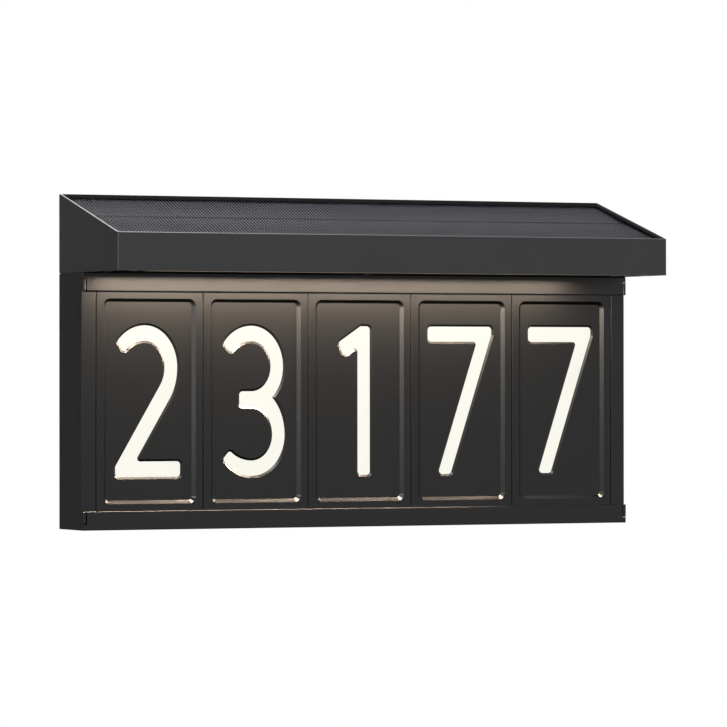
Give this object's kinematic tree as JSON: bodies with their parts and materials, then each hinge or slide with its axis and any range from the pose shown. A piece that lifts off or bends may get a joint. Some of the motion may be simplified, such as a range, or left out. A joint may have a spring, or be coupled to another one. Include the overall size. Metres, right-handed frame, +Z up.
{
  "type": "illuminated house number sign",
  "caption": "Solar-powered backlit house number sign with a sloping canopy, recessed number tiles held between two rails, and a downlight under the canopy.",
  "frame": {"origin": "on the wall plane, midway between the entry holes of the two keyholes in the back plate", "axes": "+X along the sign to the viewer's right, +Y into the wall, +Z up"},
  "size_m": [0.4002, 0.0995, 0.2197],
  "materials": {
    "black_satin": "satin moulded, UV-stable black",
    "black_button": "matte",
    "opal": "opal, evenly lit from behind",
    "window_clear": "clear acrylic",
    "lens_frosted": "frosted acrylic",
    "reflector_white": "matte white",
    "seal_rubber": "matte",
    "screw_steel": "plain",
    "contact_metal": "nickel-plated",
    "solar_cell": "dark blue-violet silicon",
    "solar_glass": "clear, finely textured",
    "board_green": "solder mask",
    "led_white": "warm white",
    "battery_sleeve": "shrink sleeve",
    "board_part_black": "moulded",
    "plunger_white": "moulded",
    "lead_insulation": "insulation"
  },
  "bodies": {
    "sign_body": {"housing": "black_satin", "back_plate": "black_satin", "back_seal": "seal_rubber", "back_screws": "screw_steel", "light_window": "window_clear", "reflector_tray": "reflector_white", "backlight_board": "board_green", "backlight_leds": "led_white", "canopy_shell": "black_satin", "canopy_base": "black_satin", "base_screws": "screw_steel", "canopy_screws": "screw_steel", "solar_cover": "solar_glass", "solar_cells": "solar_cell", "solar_board": "board_green", "panel_gasket": "seal_rubber", "downlight_lens": "lens_frosted", "downlight_board": "board_green", "downlight_leds": "led_white", "battery_holder": "black_satin", "battery_cells": "battery_sleeve", "battery_contacts": "contact_metal", "battery_cover": "black_satin", "battery_seal": "seal_rubber", "battery_cover_screws": "screw_steel", "controller_board": "board_green", "board_parts": "board_part_black", "board_screws": "screw_steel", "power_switch": "board_part_black", "lead_grommet": "seal_rubber", "backlight_lead": "lead_insulation", "battery_lead": "lead_insulation", "downlight_lead": "lead_insulation", "panel_lead": "lead_insulation"},
    "tile_1": {"number_tile_1": "black_satin", "opal_sheet_1": "opal"},
    "tile_2": {"number_tile_2": "black_satin", "opal_sheet_2": "opal"},
    "tile_3": {"number_tile_3": "black_satin", "opal_sheet_3": "opal"},
    "tile_4": {"number_tile_4": "black_satin", "opal_sheet_4": "opal"},
    "tile_5": {"number_tile_5": "black_satin", "opal_sheet_5": "opal"},
    "left_strip": {"left_end_strip": "black_satin"},
    "right_strip": {"right_end_strip": "black_satin"},
    "button": {"power_button": "black_button", "switch_plunger": "plunger_white"}
  },
  "joints": [
    {"name": "tile_3_slide_out", "type": "slide", "parent": "sign_body", "child": "tile_3", "axis": [1, 0, 0], "range_m": [0, 0.24]},
    {"name": "tile_4_slide_out", "type": "slide", "parent": "tile_3", "child": "tile_4", "axis": [1, 0, 0], "range_m": [0, 0.164]},
    {"name": "tile_5_slide_out", "type": "slide", "parent": "tile_4", "child": "tile_5", "axis": [1, 0, 0], "range_m": [0, 0.088]},
    {"name": "right_strip_slide_out", "type": "slide", "parent": "tile_5", "child": "right_strip", "axis": [1, 0, 0], "range_m": [0, 0.012]},
    {"name": "tile_2_slide_out", "type": "slide", "parent": "sign_body", "child": "tile_2", "axis": [-1, 0, 0], "range_m": [0, 0.164]},
    {"name": "tile_1_slide_out", "type": "slide", "parent": "tile_2", "child": "tile_1", "axis": [-1, 0, 0], "range_m": [0, 0.088]},
    {"name": "left_strip_slide_out", "type": "slide", "parent": "tile_1", "child": "left_strip", "axis": [-1, 0, 0], "range_m": [0, 0.012]},
    {"name": "button_press", "type": "slide", "parent": "sign_body", "child": "button", "axis": [0, 0, 1], "range_m": [0, 0.0012], "stiffness_N_per_m": 1300}
  ]
}
